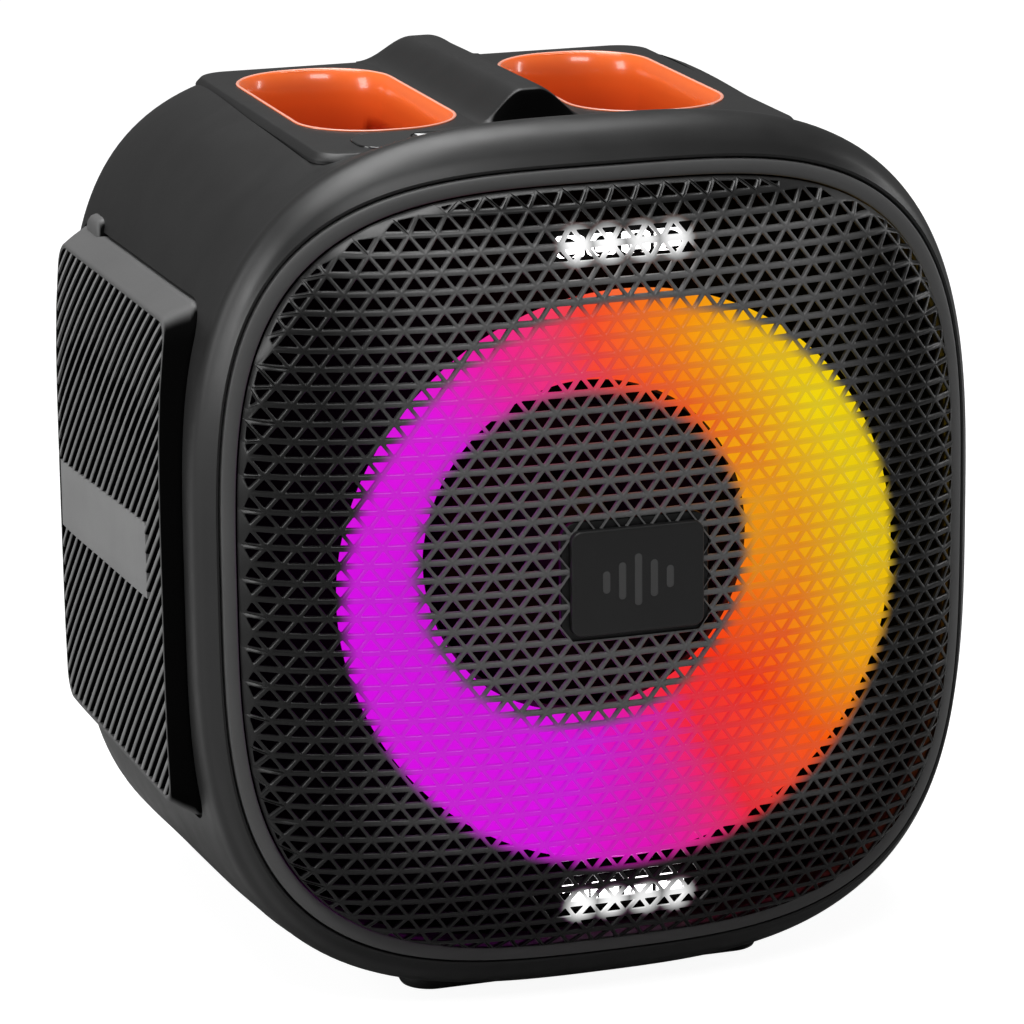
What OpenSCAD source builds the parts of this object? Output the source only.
// Portable party speaker: squircle cabinet, domed grille, light ring, twin-pocket carry handle.
// Front faces -Y, +X is right, +Z is up. The feet stand on z = 0.

/* [Front] */
// Half width of the grille opening
grille_a = 100; // [90:1:110]
// Half height of the grille opening
grille_b = 103.4; // [93:0.2:114]
// How far the grille bulges forward at its middle
grille_dome = 19; // [12:0.5:24]
// How far the front falls back at its two sides
front_bow = 8.4; // [4:0.2:10]
// Width of the flat trim ring around the grille
trim_w = 4; // [3:0.5:5]

/* [Cabinet] */
// Half width of the cabinet behind the front
body_a = 109; // [106:0.5:112]
// Half height of the cabinet's rounded outline
body_b = 116; // [114:0.5:118]
// Depth from the front plane to the back rim
body_depth = 169; // [165:1:175]
// Height of the top panel above the grille's middle
plate_z = 108.6; // [107:0.2:110]
// Height of the grille's middle above the table
rest_z = 121; // [120:0.5:124]

/* [Handle] */
// Distance from the middle to a pocket's inner wall
pocket_in = 17; // [15:0.5:18]
// Distance from the middle to a pocket's outer wall
pocket_out = 60.5; // [58:0.5:62]
// Front of the pockets, behind the front plane
pocket_y0 = 63; // [62:1:66]
// Back of the pockets, behind the front plane
pocket_y1 = 159; // [152:1:161]
// Depth of the pockets below the top panel
pocket_depth = 45; // [40:1:46]
// Height of the handle ridge over the top panel
ridge_h = 8.6; // [6:0.2:9.5]

/* [Light and driver] */
// Radius of the light funnel's outer rim
funnel_r1 = 77; // [74:0.5:78]
// Radius of the light funnel's inner rim
funnel_r0 = 45.2; // [45:0.1:45.6]
// Depth of the funnel's inner rim
funnel_y0 = 23.4; // [22:0.2:24]
// Number of lights on the ring board
ring_lights = 24; // [12:2:30]

/* [Side covers] */
// How far a side cover stands out of the cabinet
cover_out = 5; // [3:0.5:6]
// Radius of a side radiator's opening
radiator_r = 46; // [40:1:47]

/* [Controls] */
// Distance between neighbouring keys
key_pitch = 16.25; // [15:0.25:18]
// Radius of a key cap
key_r = 5.5; // [5:0.1:6]
// Play around a key cap
key_gap = 0.3; // [0.2:0.05:0.4]

/* [Sockets] */
// Bore radius of the microphone socket
mic_r = 3.2; // [3.15:0.01:3.25]
// Bore radius of the line socket
aux_r = 1.78; // [1.76:0.01:1.85]

/* [Hidden] */
$fn = 64;

// Points on one ring of a shell, and the exponent of the squircles
ring_n = 48;
front_n = 3.4;
flare_n = 3.1;
body_n = 3.3;
// The front plane lies this far ahead of the model's middle
badge_y = -(grille_dome + 1.6);
back_y = body_depth + 2.5;
y_mid = (badge_y + back_y) / 2;
// Cabinet inside: half width, half height and sunken middle
in_a = 103;
in_b = 107;
in_zc = -5;
// Top panel
plate_t = 3;
plate_x = 68.5;
plate_y0 = 31;
plate_y1 = 168;
plate_r = 10;
rim_t = 1.2;
liner_t = 2;
bar_floor = plate_z - 17;
pocket_floor = plate_z - pocket_depth;
tunnel_y0 = pocket_y0 + 8;
tunnel_y1 = pocket_y1 - 8;
// Control strip and keys
strip_x = 55;
strip_y0 = 38;
strip_y1 = 61;
key_y = 50;
strip_t = 1.2;
strip_proud = 0.4;
key_flange_r = key_r + 1.3;
key_foot_z = plate_z - 4.4;
key_board_z = plate_z - 7.1;
// Side covers, their recess and the radiators behind them
cover_y0 = 33;
cover_y1 = 155;
cover_z0 = -70.5;
cover_z1 = 72.5;
// Height of the seam between the cabinet's lower shell and its crown
crown_z = 58;
// The cover's face is flatter than the cabinet's side, by this share of the height
cover_flat = 0.7;
cover_draft = 4.6;
recess_deep = 2;
radiator_y = 92;
radiator_x = in_a - 0.3;
// Rear ports
bay_x = 40;
bay_z0 = -80;
bay_z1 = -50;
bay_y = 163;
door_t = 2.3;
hinge_z = bay_z1 + 1.8;
hinge_y = back_y - 1.9;
barrel_r = 1.5;
pin_r = 0.75;
door_pin_x = 43;
socket_z = -66;
mic_x = -26;
aux_x = -8;
usb_c_x = 10;
usb_a_x = 27;
// Feet
foot_x = 51.5;
foot_w = 18;
foot_y_front = 21;
foot_y_rear = 132;
foot_top = -112.4;
// Driver, measured along Y from the front plane
flange_r = 51;
baffle_y = 27;
baffle_t = 4;
cone_r = 38;
coil_r = 12.2;
plate_y = 58.5;
magnet_y = 62.5;
yoke_y = 76.5;
screw_r = 48.4;
// Lights
frame_y = 15;
board_y = 20;
strobe_z = 88.4;
strobe_y = -4.5;
// Electronics
amp_y = 148;
battery_y = 84;
battery_z = -99;
cell_r = 9.1;
cell_l = 65;

// Rear screw places, as x, z and how far the web beside each boss reaches
rear_bosses = [[72, 78, 92], [-72, 78, 92], [72, -82, 92], [-72, -82, 92], [90, 0, 104.5], [-90, 0, 104.5]];
// Places of the pegs that hold the amplifier board, and of the posts in front of the baffle, as x and z
amp_pegs = [[-55, -91], [55, -91], [-55, -41], [55, -41]];
frame_posts = [[-85, -60], [85, -60], [-85, 60], [85, 60]];
key_posts = [[-39, 44.5], [39, 44.5], [-39, 55.5], [39, 55.5]];

// Moves the design so that the feet stand on z = 0 and the depth is centred
module place() {
    translate([0, -y_mid, rest_z]) children();
}

// Turns a shape built along Z so that it points backwards along Y
module along_y(y = 0) {
    translate([0, y, 0]) rotate([-90, 0, 0]) children();
}

// One signed superellipse coordinate
function se(c, n) = sign(c) * pow(abs(c), 2 / n);

// One point of a squircle with half sizes a and b
function squircle(a, b, n, k) = [a * se(cos(360 * k / ring_n), n), b * se(sin(360 * k / ring_n), n)];

// One closed ring: y, half sizes, exponent, middle height, and its share of the front's bow
function ring(y, a, b, n, zc = 0, bow = 0) = [
    for (k = [0 : ring_n - 1])
        let (p = squircle(a, b, n, k))
        [p[0], y + bow * front_bow * pow(p[0] / grille_a, 2), p[1] + zc]];

// Quads between ring i and ring j, split into triangles
function band(i, j) = [
    for (k = [0 : ring_n - 1], half = [0, 1])
        let (l = (k + 1) % ring_n)
        half == 0
            ? [i * ring_n + k, i * ring_n + l, j * ring_n + l]
            : [i * ring_n + k, j * ring_n + l, j * ring_n + k]];

function flat(lists) = [for (list = lists) for (item = list) item];

// The middle of a list of points
function mean(points) = [for (p = points) 1] * points / len(points);

// Skin through a closed loop of rings, as a frame that is open in the middle
module ring_loop(rings) {
    m = len(rings);
    polyhedron(flat(rings), flat([for (i = [0 : m - 1]) band(i, (i + 1) % m)]), convexity = 6);
}

// Skin through a chain of rings with both ends closed by fans
module ring_chain(rings) {
    m = len(rings);
    first = m * ring_n;
    points = concat(flat(rings), [mean(rings[0]), mean(rings[m - 1])]);
    start_fan = [for (k = [0 : ring_n - 1]) [first, (k + 1) % ring_n, k]];
    end_fan = [for (k = [0 : ring_n - 1])
        [first + 1, (m - 1) * ring_n + k, (m - 1) * ring_n + (k + 1) % ring_n]];
    sides = flat([for (i = [0 : m - 2]) band(i, i + 1)]);
    polyhedron(points, concat(sides, start_fan, end_fan), convexity = 6);
}

// A flat squircle plate from y to y + t
module squircle_plate(y, t, a, b, n, zc = 0) {
    translate([0, y + t, zc]) rotate([90, 0, 0]) linear_extrude(t)
        polygon([for (k = [0 : ring_n - 1]) squircle(a, b, n, k)]);
}

// A rectangle with round corners, from corner p0 to corner p1
module round_rect(p0, p1, r) {
    union() {
        translate([p0[0] + r, p0[1]]) square([p1[0] - p0[0] - 2 * r, p1[1] - p0[1]]);
        translate([p0[0], p0[1] + r]) square([p1[0] - p0[0], p1[1] - p0[1] - 2 * r]);
        for (x = [p0[0] + r, p1[0] - r], y = [p0[1] + r, p1[1] - r])
            translate([x, y]) circle(r);
    }
}

// A box between two corners
module box(p0, p1) {
    translate(p0) cube(p1 - p0);
}

// A round bar between two points along one axis direction
module rod(p, r, l, dir) {
    turn = dir == "x" ? [0, 90, 0] : dir == "y" ? [-90, 0, 0] : [0, 0, 0];
    translate(p) rotate(turn) cylinder(r = r, h = l);
}

// Cabinet outline at its waist, just behind the front, and the depths between which it widens
waist_a = 107.8;
waist_b = 113.8;
waist_n = 3.2;
waist_y = 50;
full_y = 150;

// Half width of the cabinet's side at depth y and height z
function side_at(y, z) =
    let (
        s = max(0, min(1, (y - waist_y) / (full_y - waist_y))),
        a = waist_a + (body_a - waist_a) * s,
        b = waist_b + (body_b - waist_b) * s,
        n = waist_n + (body_n - waist_n) * s)
    a * pow(1 - pow(abs(z) / b, n), 1 / n);

// Front surface of the grille over a point of the front plane
function rho(x, z) = pow(pow(abs(x) / grille_a, front_n) + pow(abs(z) / grille_b, front_n), 1 / front_n);
function dome_y(x, z) =
    front_bow * pow(x / grille_a, 2) - grille_dome * pow(max(0, 1 - pow(rho(x, z), 2.4)), 1 / 2.4);

// ---------------------------------------------------------------- cabinet and covers

cabinet_rings = [
    ring(1.2, 105, 108.8, front_n, bow = 1),
    ring(4, 106.2, 112.6, 3.3, bow = 0.9),
    ring(9, 108, 116.6, 3.15, bow = 0.7),
    ring(15, 109.2, 118.4, flare_n, bow = 0.4),
    ring(22, 109, 117.2, flare_n, bow = 0.2),
    ring(34, waist_a, waist_b - 0.2, waist_n),
    ring(waist_y, waist_a, waist_b, waist_n),
    ring(full_y, body_a, body_b, body_n),
    ring(160, body_a - 1.3, body_b - 1.5, body_n),
    ring(body_depth - 3, body_a - 4.7, body_b - 4.7, body_n),
    ring(body_depth, body_a - 9, body_b - 8.5, body_n),
    ring(body_depth, 97, 104.2, body_n),
    ring(body_depth - 3.6, 97, 104.2, body_n),
    ring(body_depth - 3.6, 94, 101, body_n),
    ring(body_depth - 6, 94, 101, body_n),
    ring(body_depth - 15, in_a, in_b, body_n, in_zc),
    ring(18, in_a, in_b, 3.2, in_zc),
    ring(14.4, in_a - 2.5, 104.6, 3.2),
    ring(7, grille_a + 0.6, grille_b + 0.6, front_n, bow = 0.7),
    ring(7, grille_a + trim_w + 0.1, grille_b + trim_w + 0.3, front_n, bow = 0.7),
    ring(1.2, grille_a + trim_w + 0.1, grille_b + trim_w + 0.3, front_n, bow = 1)];

module cabinet_shell() {
    difference() {
        union() {
            ring_loop(cabinet_rings);
            for (p = rear_bosses) {
                rod([p[0], body_depth - 20, p[1]], 5, 14, "y");
                box([min(p[0], sign(p[0]) * p[2]), body_depth - 20, p[1] - 1.5],
                    [max(p[0], sign(p[0]) * p[2]), body_depth - 7, p[1] + 1.5]);
            }
        }
        // Seat of the top panel, and the opening under it for the handle and the key board
        box([-plate_x - 0.3, plate_y0 - 0.3, plate_z - plate_t], [plate_x + 0.3, body_depth + 5, 130]);
        box([-plate_x + 2.5, plate_y0 + 6, 95], [plate_x - 2.5, pocket_y1 + 2.4, 130]);
        translate([0, 0, pocket_floor - liner_t - 1]) linear_extrude(80) pocket_outline(liner_t + 0.4);
        // Recess, radiator opening and radiator seat on each side
        for (s = [-1, 1]) mirror_if(s) {
            side_slab(-1, 12, -recess_deep);
            rod([95, radiator_y, 0], radiator_r + 1, 30, "x");
            rod([85, radiator_y, 0], radiator_r + 5.2, radiator_x + 0.1 - 85, "x");
        }
        for (p = rear_bosses) rod([p[0], body_depth - 19, p[1]], 1.3, 30, "y");
        for (x = [-36, 36], y = [foot_y_front + 9, foot_y_rear + 9])
            rod([x, y, -125], 1.35, 25, "z");
    }
}

module cabinet() {
    color("#232325") place() difference() {
        cabinet_shell();
        box([-130, -10, crown_z - 0.02], [130, body_depth + 10, 130]);
    }
}

// The cabinet's crown is moulded apart, and carries the top panel
module cabinet_crown() {
    color("#232325") place() difference() {
        cabinet_shell();
        box([-130, -10, -130], [130, body_depth + 10, crown_z]);
    }
}

module rear_cover() {
    color("#262628") place() difference() {
        union() {
            squircle_plate(body_depth - 2.6, 2.6 + 2.5, 96.4, 103.6, body_n);
            for (p = amp_pegs) {
                rod([p[0], amp_y + 1.6, p[1]], 3, body_depth - 2.5 - amp_y - 1.6, "y");
                rod([p[0], amp_y - 1, p[1]], 1.5, 4, "y");
            }
        }
        rod([-door_pin_x, hinge_y, hinge_z], pin_r, 2 * door_pin_x, "x");
        box([-bay_x - 0.4, 150, bay_z0 - 0.4], [bay_x + 0.4, 190, hinge_z + barrel_r + 0.5]);
        for (p = rear_bosses) {
            rod([p[0], 150, p[1]], 1.7, 40, "y");
            rod([p[0], body_depth + 0.6, p[1]], 3.3, 10, "y");
        }
        box([-plate_x, 150, plate_z - plate_t - 2], [plate_x, 190, 130]);
    }
}

module rear_gasket() {
    color("#3a3a3a") place() difference() {
        squircle_plate(body_depth - 3.5, 0.8, 96.6, 103.8, body_n);
        squircle_plate(body_depth - 5, 4, 94.4, 101.4, body_n);
    }
}

module pan_screw(p, head_r, head_t, shank_r, shank_l) {
    // Head towards +Y, shank towards the front
    rod([p[0], p[1], p[2]], head_r, head_t, "y");
    rod([p[0], p[1] - shank_l, p[2]], shank_r, shank_l + 0.1, "y");
}

// Six screws of the rear cover and four of the feet
module case_screws() {
    color("#1a1a1a") place() {
        for (p = rear_bosses) pan_screw([p[0], body_depth + 0.6, p[1]], 2.9, 1.4, 1.3, 15);
        for (x = [-36, 36], y = [foot_y_front + 9, foot_y_rear + 9]) {
            rod([x, y, -rest_z + 1.2], 2.9, 2.2, "z");
            rod([x, y, -rest_z + 1.2], 1.3, 7.4, "z");
        }
    }
}

module trim_ring() {
    a1 = grille_a + trim_w;
    b1 = grille_b + trim_w + 0.2;
    color("#434345") place() ring_loop([
        ring(0.4, a1 - 0.1, b1 - 0.1, front_n, bow = 1),
        ring(6.6, a1 - 0.1, b1 - 0.1, front_n, bow = 0.7),
        ring(6.6, grille_a + 0.2, grille_b + 0.2, front_n, bow = 0.7),
        ring(0, grille_a + 0.2, grille_b + 0.2, front_n, bow = 1)]);
}

// A ring of the grille at a share s of its outline, moved back by t
function grille_ring(s, t) = [
    for (k = [0 : ring_n - 1])
        let (p = squircle(grille_a * s, grille_b * s, front_n, k))
        [p[0], dome_y(p[0], p[1]) + t, p[1]]];

module grille() {
    steps = [0.04, 0.25, 0.45, 0.62, 0.76, 0.87, 0.95, 1];
    last = len(steps) - 1;
    color("#1b1b1c") place() ring_chain(concat(
        [for (i = [0 : last]) grille_ring(steps[i], 0)],
        [for (i = [0 : last]) grille_ring(steps[last - i] * 0.985, 2)]));
}

module badge() {
    color("#28282a") place() translate([0, badge_y + 0.4, 2]) rotate([-90, 0, 0])
        linear_extrude(1.1) round_rect([-18.3, -14.2], [18.3, 14.2], 2.6);
}

module badge_emblem() {
    // Five level bars
    heights = [4, 8, 12, 8, 4];
    color("#5b5b5d") place() translate([0, badge_y, 2]) rotate([-90, 0, 0])
        for (i = [0 : 4]) translate([(i - 2) * 4.4, 0, 0])
            linear_extrude(0.4) round_rect([-1, -heights[i] / 2 - 1], [1, heights[i] / 2 + 1], 0.99);
}

// ---------------------------------------------------------------- top panel and handle

// Height share of the ridge at distance u from its middle, for a flat half top and a half base
function bell(u, top, base) = u <= top ? 1 : u >= base ? 0 : (1 + cos(180 * (u - top) / (base - top))) / 2;

// One cross-section of the ridge, as a closed loop in x and z at depth y
function ridge_ring(y, h, top, base) =
    let (m = 14, edge = 0.3)
    concat(
        [for (i = [0 : m])
            let (x = base * (2 * i / m - 1))
            [x, y, plate_z + edge + (h - edge) * bell(abs(x), top, base)]],
        [[base, y, plate_z], [-base, y, plate_z]]);

module handle_ridge() {
    rings = [
        ridge_ring(strip_y1 + 0.6, 0.8, 3, 13.5),
        ridge_ring(strip_y1 + 1.8, ridge_h * 0.8, 2.6, 13.5),
        ridge_ring(pocket_y0 + 2, ridge_h, 2.6, 13.5),
        ridge_ring(pocket_y1 - 30, ridge_h * 0.9, 4.6, 14.4),
        ridge_ring(pocket_y1, ridge_h * 0.83, 5.6, 15),
        ridge_ring(plate_y1 - 3, ridge_h * 0.8, 6, 16),
        ridge_ring(plate_y1 - 0.5, ridge_h * 0.66, 5, 15.5)];
    n = len(rings[0]);
    m = len(rings);
    sides = [for (i = [0 : m - 2], k = [0 : n - 1], half = [0, 1])
        let (l = (k + 1) % n)
        half == 0
            ? [i * n + l, i * n + k, (i + 1) * n + l]
            : [(i + 1) * n + l, i * n + k, (i + 1) * n + k]];
    ends = [[for (k = [0 : n - 1]) k], [for (k = [0 : n - 1]) m * n - 1 - k]];
    color("#2b2b2d") place() polyhedron(flat(rings), concat(sides, ends), convexity = 4);
}

module pocket_shape(grow) {
    round_rect([pocket_in - grow, pocket_y0 - grow], [pocket_out + grow, pocket_y1 + grow], 20 + grow);
}

module pocket_outline(grow) {
    for (s = [-1, 1]) mirror([s < 0 ? 1 : 0, 0]) pocket_shape(grow);
}

module key_holes(r) {
    for (i = [-2 : 2]) translate([i * key_pitch, key_y]) circle(r);
}

module strip_outline(grow) {
    round_rect([-strip_x - grow, strip_y0 - grow], [strip_x + grow, strip_y1 + grow], 8);
}

module top_panel() {
    color("#2b2b2d") place() difference() {
        union() {
            translate([0, 0, plate_z - plate_t]) linear_extrude(plate_t - 0.9)
                round_rect([-plate_x, plate_y0], [plate_x, plate_y1], plate_r);
            translate([0, 0, plate_z - 0.9]) linear_extrude(0.9)
                round_rect([-plate_x + 0.9, plate_y0 + 0.9], [plate_x - 0.9, plate_y1 - 0.9], plate_r - 0.9);
            for (p = key_posts)
                rod([p[0], p[1], key_board_z + 1.6], 1.5, plate_z - plate_t - key_board_z - 1.5, "z");
        }
        translate([0, 0, plate_z - 20]) linear_extrude(40) pocket_outline(liner_t + 0.1);
        translate([0, 0, plate_z - 20]) linear_extrude(40) key_holes(key_r + key_gap);
        translate([0, 0, plate_z - strip_t + strip_proud]) linear_extrude(10) strip_outline(0.1);
    }
}

// The handle's load-carrying beam under the ridge, with a slot for its steel core
module handle_beam() {
    color("#303033") place() difference() {
        box([-13.9, pocket_y0 + 3, bar_floor + liner_t + 0.2], [13.9, pocket_y1 - 3, plate_z - plate_t - 0.05]);
        box([-6.1, pocket_y0 - 5, bar_floor], [6.1, pocket_y1 + 5, bar_floor + 9.1]);
    }
}

module handle_core() {
    color("#a9abae") place()
        box([-6, pocket_y0 + 3, bar_floor + liner_t + 0.2], [6, pocket_y1 - 3, bar_floor + 9]);
}

// One pocket's cup, with a window through its inner wall where the tunnel under the bar opens
module pocket_liner() {
    difference() {
        union() {
            translate([0, 0, pocket_floor - liner_t]) linear_extrude(pocket_depth + liner_t) pocket_shape(liner_t);
            translate([0, 0, plate_z]) linear_extrude(0.5) pocket_shape(rim_t);
        }
        translate([0, 0, pocket_floor]) linear_extrude(pocket_depth + 10) pocket_shape(0);
        box([0, tunnel_y0, pocket_floor], [pocket_in + 4, tunnel_y1, bar_floor]);
    }
}

module pocket_liner_left() { color("#ff6a1f") place() mirror([1, 0, 0]) pocket_liner(); }
module pocket_liner_right() { color("#ff6a1f") place() pocket_liner(); }

// The tube that joins the two cups under the bar
module tunnel_liner() {
    half = pocket_in + 5;
    color("#ff6a1f") place() difference() {
        box([-half, tunnel_y0 - liner_t, pocket_floor - liner_t], [half, tunnel_y1 + liner_t, bar_floor + liner_t]);
        box([-half - 1, tunnel_y0, pocket_floor], [half + 1, tunnel_y1, bar_floor]);
        translate([0, 0, pocket_floor - 10]) linear_extrude(60) pocket_outline(liner_t + 0.05);
    }
}

module control_strip() {
    color("#0d0d0e") place() difference() {
        translate([0, 0, plate_z - strip_t + strip_proud]) linear_extrude(strip_t) strip_outline(0);
        translate([0, 0, plate_z - 5]) linear_extrude(10) key_holes(key_r + key_gap);
    }
}

// A key cap with a retaining flange under the top panel
module key_cap(i) {
    place() translate([i * key_pitch, key_y, 0]) {
        rod([0, 0, key_foot_z], key_flange_r, 1.1, "z");
        rod([0, 0, key_foot_z], key_r, plate_z + strip_proud - key_foot_z, "z");
    }
}

module light_key() { color("#101011") key_cap(-2); }
module volume_down_key() { color("#101011") key_cap(-1); }
module play_key() { color("#101011") key_cap(0); }
module volume_up_key() { color("#101011") key_cap(1); }
module power_key() { color("#101011") key_cap(2); }

module key_board() {
    color("#1d5c34") place() union() {
        box([-42, 42, key_board_z], [42, 58, key_board_z + 1.6]);
        for (i = [-2 : 2]) rod([i * key_pitch, key_y, key_board_z + 1.5], 2.2, 0.3, "z");
    }
}

// ---------------------------------------------------------------- side covers and radiators

// One rounded outline of a side cover, inset by d, out of the cabinet's side or of a flatter copy of it
function cover_ring(d, out, flat = 1) = [
    for (k = [0 : ring_n - 1])
        let (
            hy = (cover_y1 - cover_y0) / 2 - d,
            hz = (cover_z1 - cover_z0) / 2 - d,
            p = squircle(hy, hz, 9, k),
            y = p[0] + (cover_y0 + cover_y1) / 2,
            z = p[1] + (cover_z0 + cover_z1) / 2)
        [side_at(y, flat * z) + out, y, z]];

// Insets at which a surface that follows the cabinet's side is sampled
cover_steps = [58, 44, 30, 16];

// A slab that follows the cabinet's side, between two heights over it
module side_slab(d, top, bottom) {
    ring_chain(concat(
        [for (e = cover_steps) cover_ring(e, top)],
        [cover_ring(d, top), cover_ring(d, bottom)],
        [for (i = [3 : -1 : 0]) cover_ring(cover_steps[i], bottom)]));
}

module side_cover() {
    union() {
        ring_chain(concat(
            [for (e = cover_steps) cover_ring(e, cover_out, cover_flat)],
            [cover_ring(cover_draft, cover_out, cover_flat),
            cover_ring(0.4, 0.4),
            cover_ring(0, 0.4 - recess_deep),
            cover_ring(2.4, 0.4 - recess_deep),
            cover_ring(cover_draft + 2.2, cover_out - 2.4, cover_flat)],
            [for (i = [3 : -1 : 0]) cover_ring(cover_steps[i], cover_out - 2.4, cover_flat)]));
        // Rounded lug at the top rear corner
        difference() {
            translate([97, 0, 0]) rotate([90, 0, 90]) linear_extrude(7.5)
                round_rect([118, 63], [147, 77.5], 6);
            side_slab(-5, 0.4, -14);
        }
    }
}

module mirror_if(side) {
    mirror([side < 0 ? 1 : 0, 0, 0]) children();
}

module side_cover_left() { color("#4a4a4c") place() mirror_if(-1) side_cover(); }
module side_cover_right() { color("#4a4a4c") place() mirror_if(1) side_cover(); }

// Radiator parts are turned about X, standing in the side wall
module radiator_frame(side) {
    place() mirror_if(side) translate([0, radiator_y, 0]) rotate([0, 90, 0]) difference() {
        translate([0, 0, radiator_x - 4]) cylinder(r = radiator_r + 5, h = 4);
        translate([0, 0, radiator_x - 5]) cylinder(r = radiator_r - 1, h = 10);
    }
}

module radiator_surround(side) {
    r0 = radiator_r - 10;
    place() mirror_if(side) translate([0, radiator_y, 0]) rotate([0, 90, 0]) rotate_extrude()
        translate([0, radiator_x - 2, 0]) difference() {
            translate([(r0 + radiator_r - 1.4) / 2, 0]) circle(4.3);
            translate([(r0 + radiator_r - 1.4) / 2, 0]) circle(3.5);
            translate([0, -10]) square([80, 10]);
        }
}

module radiator_plate(side) {
    place() mirror_if(side) translate([0, radiator_y, 0]) rotate([0, 90, 0])
        translate([0, 0, radiator_x - 3.6]) cylinder(r = radiator_r - 10.2, h = 2.6);
}

module radiator_frames() { color("#303033") for (s = [-1, 1]) radiator_frame(s); }
module radiator_surround_left() { color("#151516") radiator_surround(-1); }
module radiator_plate_left() { color("#55565a") radiator_plate(-1); }
module radiator_surround_right() { color("#151516") radiator_surround(1); }
module radiator_plate_right() { color("#55565a") radiator_plate(1); }

// ---------------------------------------------------------------- feet

// A rubber bar whose foot is a flat stadium, with its neck up to the cabinet's underside
module foot(y) {
    place() difference() {
        union() {
            translate([0, 0, -rest_z]) linear_extrude(4) round_rect([-foot_x, y], [foot_x, y + foot_w], 7);
            translate([0, 0, -rest_z + 4]) linear_extrude(rest_z - 4 + foot_top)
                round_rect([-foot_x - 1.5, y - 1], [foot_x + 1.5, y + foot_w + 1], 8);
        }
        for (x = [-36, 36]) {
            rod([x, y + 9, -rest_z - 1], 3.2, 4.5, "z");
            rod([x, y + 9, -rest_z - 1], 1.8, 20, "z");
        }
        intersection() {
            ring_chain([
                ring(10, 108.2, 117.4, flare_n), ring(15, 109.4, 118.7, flare_n), ring(22, 109.2, 117.5, flare_n),
                ring(34, 108.1, 113.9, 3.2), ring(50, 108.1, 114.1, 3.2), ring(150, body_a + 0.3, body_b + 0.3, body_n),
                ring(160, body_a - 1, body_b - 1.2, body_n)]);
            box([-70, y - 3, -130], [70, y + foot_w + 3, -90]);
        }
    }
}

module front_foot() { color("#151515") foot(foot_y_front); }
module rear_foot() { color("#151515") foot(foot_y_rear); }

// ---------------------------------------------------------------- rear ports

module port_bay() {
    color("#1f1f21") place() difference() {
        box([-bay_x - 3, bay_y - 2, bay_z0 - 3], [bay_x + 3, body_depth - 3.7, bay_z1 + 6.5]);
        box([-bay_x, bay_y, bay_z0], [bay_x, 190, bay_z1 + 4.4]);
        rod([mic_x, 150, socket_z], 5.6, 30, "y");
        rod([aux_x, 150, socket_z], 4.1, 30, "y");
        box([usb_c_x - 5.6, 150, socket_z - 2.7], [usb_c_x + 5.6, 180, socket_z + 2.7]);
        box([usb_a_x - 7.6, 150, socket_z - 4], [usb_a_x + 7.6, 180, socket_z + 4]);
    }
}

// Rubber flap with a round hinge barrel along its top edge
module port_door() {
    color("#29292b") place() difference() {
        union() {
            box([-bay_x + 0.3, back_y - door_t - 0.2, bay_z0 + 0.3], [bay_x - 0.3, back_y - 0.2, hinge_z]);
            rod([-bay_x + 0.3, hinge_y, hinge_z], barrel_r, 2 * bay_x - 0.6, "x");
        }
        rod([-bay_x - 1, hinge_y, hinge_z], pin_r + 0.05, 2 * bay_x + 2, "x");
        // Finger notch at the lower edge
        rod([-9, back_y + 1.2, bay_z0 + 2.5], 2.2, 18, "x");
    }
}

module door_pin() {
    color("#b9bbbe") place() rod([-door_pin_x, hinge_y, hinge_z], pin_r, 2 * door_pin_x, "x");
}

// A round jack socket: collar, body and bore
module jack(x, collar_r, bore_r, l) {
    place() translate([x, 0, socket_z]) difference() {
        union() {
            rod([0, bay_y - 2, 0], collar_r, 3.2, "y");
            rod([0, bay_y + 1.2 - l - 1.5, 0], collar_r - 0.6, l + 1.5 - 3.2 + 0.01, "y");
        }
        rod([0, bay_y + 1.2 - l, 0], bore_r, l + 1, "y");
    }
}

module mic_socket() { color("#2d2d30") jack(mic_x, 5.5, mic_r, 13); }
module aux_socket() { color("#2d2d30") jack(aux_x, 4, aux_r, 13); }

module usb_c_socket() {
    color("#b4b6b9") place() difference() {
        box([usb_c_x - 5.5, bay_y - 8, socket_z - 2.6], [usb_c_x + 5.5, bay_y + 0.8, socket_z + 2.6]);
        translate([usb_c_x, bay_y - 6, socket_z]) rotate([-90, 0, 0]) linear_extrude(20)
            difference() {
                round_rect([-4.47, -1.63], [4.47, 1.63], 1.6);
                square([6.7, 0.7], center = true);
            }
    }
}

module usb_a_socket() {
    color("#b4b6b9") place() difference() {
        box([usb_a_x - 7.5, bay_y - 11, socket_z - 3.9], [usb_a_x + 7.5, bay_y + 0.8, socket_z + 3.9]);
        box([usb_a_x - 6.25, bay_y - 9, socket_z - 2.5], [usb_a_x + 6.25, bay_y + 2, socket_z + 0.4]);
        box([usb_a_x - 6.25, bay_y - 9, socket_z + 0.3], [usb_a_x + 6.25, bay_y + 2, socket_z + 2.5]);
    }
}

// ---------------------------------------------------------------- baffle and driver

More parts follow.
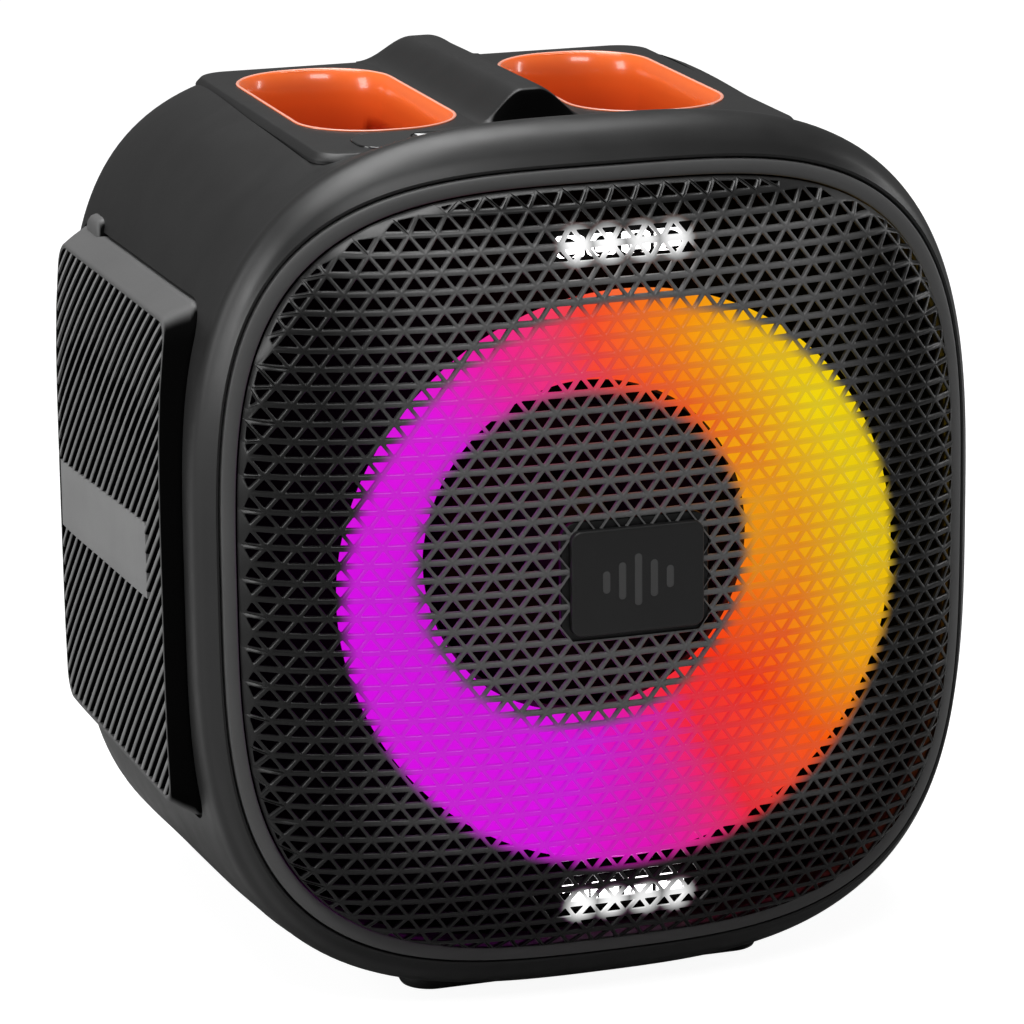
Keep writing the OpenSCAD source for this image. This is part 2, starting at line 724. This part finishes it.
module baffle() {
    color("#3b3b3d") place() difference() {
        union() {
            squircle_plate(baffle_y, baffle_t, in_a - 0.3, in_b - 0.3, 3.2, in_zc);
            for (p = frame_posts) rod([p[0], frame_y + 2.2, p[1]], 3, baffle_y - frame_y - 2.1, "y");
            for (x = [-74, 74]) rod([x, board_y + 1.6, 0], 2.5, baffle_y - board_y - 1.5, "y");
            for (z = [-74, 74]) rod([0, board_y + 1.6, z], 2.5, baffle_y - board_y - 1.5, "y");
        }
        rod([0, baffle_y - 1, 0], funnel_r0 + 2.3, baffle_t + 2, "y");
        for (q = [0 : 3]) rotate([0, 45 + 90 * q, 0]) rod([screw_r, baffle_y - 1, 0], 1.5, baffle_t + 2, "y");
        rod([60, baffle_y - 1, -70], 3.5, baffle_t + 2, "y");
    }
}

module driver_gasket() {
    color("#4a4038") place() along_y(funnel_y0 + 0.1) difference() {
        cylinder(r = flange_r, h = 0.9);
        translate([0, 0, -1]) cylinder(r = funnel_r0, h = 4);
        for (q = [0 : 3]) rotate(45 + 90 * q) translate([screw_r, 0, -1]) cylinder(r = 2.4, h = 4);
    }
}

module driver_basket() {
    front = baffle_y - 2.6;
    color("#2f3033") place() along_y() difference() {
        rotate_extrude() polygon([
            [funnel_r0 + 0.3, front], [flange_r, front], [flange_r, baffle_y], [46.8, baffle_y], [44.8, 40],
            [26, plate_y - 0.2], [coil_r + 3, plate_y - 0.2], [coil_r + 3, plate_y - 2.4], [24.8, plate_y - 2.4],
            [42.9, 38.8], [45.1, 27.6]]);
        for (q = [0 : 5]) rotate(60 * q) translate([0, -9, 30]) cube([60, 18, 24]);
        for (q = [0 : 3]) rotate(45 + 90 * q) translate([screw_r, 0, front - 1]) cylinder(r = 1.8, h = 6);
    }
}

module driver_top_plate() {
    color("#9b9da1") place() along_y(plate_y) difference() {
        cylinder(r = 31, h = magnet_y - plate_y);
        translate([0, 0, -1]) cylinder(r = coil_r + 1.05, h = 10);
    }
}

module driver_magnet() {
    color("#34353a") place() along_y(magnet_y) difference() {
        cylinder(r = 35, h = yoke_y - magnet_y);
        translate([0, 0, -1]) cylinder(r = 17, h = 20);
    }
}

module driver_pole() {
    color("#9b9da1") place() along_y() {
        translate([0, 0, yoke_y]) cylinder(r = 32, h = 4.5);
        translate([0, 0, plate_y]) cylinder(r = coil_r - 0.4, h = yoke_y - plate_y + 0.1);
    }
}

module voice_coil() {
    color("#b5793a") place() along_y() rotate_extrude() polygon([
        [coil_r, 46], [coil_r + 0.3, 46], [coil_r + 0.3, 57.5], [coil_r + 0.75, 57.5], [coil_r + 0.75, 66],
        [coil_r, 66]]);
}

module spider() {
    // Corrugated ring from the coil former to the basket's inner step
    waves = 5;
    r0 = coil_r + 0.9;
    r1 = 23.6;
    steps = waves * 6;
    upper = [for (i = [0 : steps]) [r0 + (r1 - r0) * i / steps, 53 + 0.9 * sin(360 * waves * i / steps)]];
    lower = [for (i = [0 : steps]) [upper[steps - i][0], upper[steps - i][1] + 0.5]];
    color("#c9a85a") place() along_y() rotate_extrude() polygon(concat(upper, lower));
}

module cone() {
    color("#1c1c1e") place() along_y() rotate_extrude() polygon([
        [coil_r + 0.35, 47.4], [coil_r + 0.35, 46.2], [24, 36.6], [cone_r - 1, 29], [cone_r - 0.2, 28.4],
        [cone_r - 0.2, 29.6], [24.6, 37.8]]);
}

module cone_surround() {
    middle = (cone_r + 44.6) / 2;
    roll = (44.6 - cone_r) / 2;
    color("#101011") place() along_y() rotate_extrude() difference() {
        translate([middle, 28.6]) circle(roll);
        translate([middle, 28.6]) circle(roll - 0.7);
        translate([0, 28.6]) square([80, 20]);
    }
}

module dust_cap() {
    // A shallow dome glued to the cone, as a cap of a sphere
    cap_r = 14;
    sphere_r = 22;
    mid = 43.6 + sqrt(sphere_r * sphere_r - cap_r * cap_r) - 0.2;
    color("#2a2a2c") place() along_y() intersection() {
        difference() {
            translate([0, 0, mid]) sphere(sphere_r);
            translate([0, 0, mid]) sphere(sphere_r - 0.7);
        }
        cylinder(r = cap_r, h = 43.4);
    }
}

module driver_screws() {
    color("#6c6e72") place() along_y() for (q = [0 : 3]) rotate(45 + 90 * q) translate([screw_r, 0, 0]) {
        translate([0, 0, baffle_y - 3.5]) cylinder(r = 2.2, h = 0.9);
        translate([0, 0, baffle_y - 3]) cylinder(r = 1.3, h = 8);
    }
}

// ---------------------------------------------------------------- lights

module light_frame() {
    color("#0b0b0c") place() difference() {
        squircle_plate(frame_y, 2.2, in_a - 4, 101, 3.2, -0.4);
        rod([0, frame_y - 1, 0], 57.5, 5, "y");
    }
}

// Frosted funnel from just behind the grille down to the driver's rim
module light_funnel() {
    rim_y = -3.6;
    color("#f4eef8") place() along_y() rotate_extrude() polygon([
        [funnel_r1, rim_y], [funnel_r1 + 0.9, rim_y + 1], [60, 11.4], [56.6, 14.6], [51, 20.6], [flange_r - 1, funnel_y0],
        [funnel_r0, funnel_y0], [funnel_r0, funnel_y0 - 1.2], [52, 15.8], [60, 7.6], [70, 0.4]]);
}

module light_board() {
    color("#e8e8ea") place() along_y(board_y) difference() {
        cylinder(r = 80, h = 1.6);
        translate([0, 0, -1]) cylinder(r = 53.5, h = 5);
    }
}

module ring_lights() {
    color("#fff6d8") place() along_y(board_y) for (i = [0 : ring_lights - 1])
        rotate(360 * i / ring_lights) translate([62, 0, -1.7]) translate([-2.5, -2.5, 0]) cube([5, 5, 1.7]);
}

// A small board with four white strobe lenses behind the grille
module strobe_board(z) {
    place() translate([0, strobe_y, z]) {
        box([-21, 0, -4.5], [21, 1.6, 4.5]);
        for (i = [-1.5 : 1.5]) rod([i * 9.5, -3.2, 0], 2.6, 3.3, "y");
        for (x = [-17, 17]) rod([x, 1.5, 0], 2.2, frame_y - strobe_y - 1.5, "y");
    }
}

module strobe_boards() { color("#f2f4f8") for (z = [-strobe_z, strobe_z]) strobe_board(z); }

// ---------------------------------------------------------------- electronics

module amp_board() {
    color("#1d5c34") place() difference() {
        box([-60, amp_y, -96], [60, amp_y + 1.6, -36]);
        for (x = [-55, 55], z = [-91, -41]) rod([x, amp_y - 1, z], 1.6, 5, "y");
    }
    // Finned heat sink, two inductors and four capacitors
    color("#3f4246") place() union() {
        box([-50, amp_y - 6, -62], [-14, amp_y - 0.01, -40]);
        for (i = [0 : 6]) box([-50 + 5.75 * i, amp_y - 20, -62], [-48.5 + 5.75 * i, amp_y - 5.9, -40]);
        for (x = [4, 22]) box([x, amp_y - 9, -60], [x + 13, amp_y - 0.01, -47]);
        for (i = [0 : 3]) rod([-44 + 13 * i, amp_y - 17, -82], 5, 16.99, "y");
    }
}

module battery_tray() {
    color("#2a2b2e") place() difference() {
        box([-36, battery_y - 30, battery_z - 11.5], [36, battery_y + 30, battery_z + 4]);
        box([-33.4, battery_y - 28.6, battery_z - 9.5], [33.4, battery_y + 28.6, battery_z + 20]);
    }
}

module battery_cells() {
    color("#2f7fb8") place() for (i = [-1 : 1])
        rod([-cell_l / 2, battery_y + i * 2 * (cell_r + 0.15), battery_z], cell_r, cell_l, "x");
}

// Lead from the amplifier board through the cabinet to the driver's terminal
module driver_lead() {
    r = 1.4;
    run_z = -70;
    color("#b02a22") place() union() {
        rod([44, 66, run_z], r, amp_y - 66 - 0.01, "y");
        translate([44, 66, run_z]) sphere(r);
        rod([44, 66, run_z], r, 40, "z");
        translate([44, 66, run_z + 40]) sphere(r);
        rod([22.5, 66, run_z + 40], r, 21.5, "x");
    }
}

cabinet();
cabinet_crown();
rear_cover();
rear_gasket();
case_screws();
trim_ring();
grille();
badge();
badge_emblem();
top_panel();
handle_ridge();
pocket_liner_left();
pocket_liner_right();
tunnel_liner();
handle_beam();
handle_core();
control_strip();
light_key();
volume_down_key();
play_key();
volume_up_key();
power_key();
key_board();
side_cover_left();
side_cover_right();
radiator_frames();
radiator_surround_left();
radiator_plate_left();
radiator_surround_right();
radiator_plate_right();
front_foot();
rear_foot();
port_bay();
port_door();
door_pin();
mic_socket();
aux_socket();
usb_c_socket();
usb_a_socket();
baffle();
driver_gasket();
driver_basket();
driver_top_plate();
driver_magnet();
driver_pole();
voice_coil();
spider();
cone();
cone_surround();
dust_cap();
driver_screws();
light_frame();
light_funnel();
light_board();
ring_lights();
strobe_boards();
amp_board();
battery_tray();
battery_cells();
driver_lead();
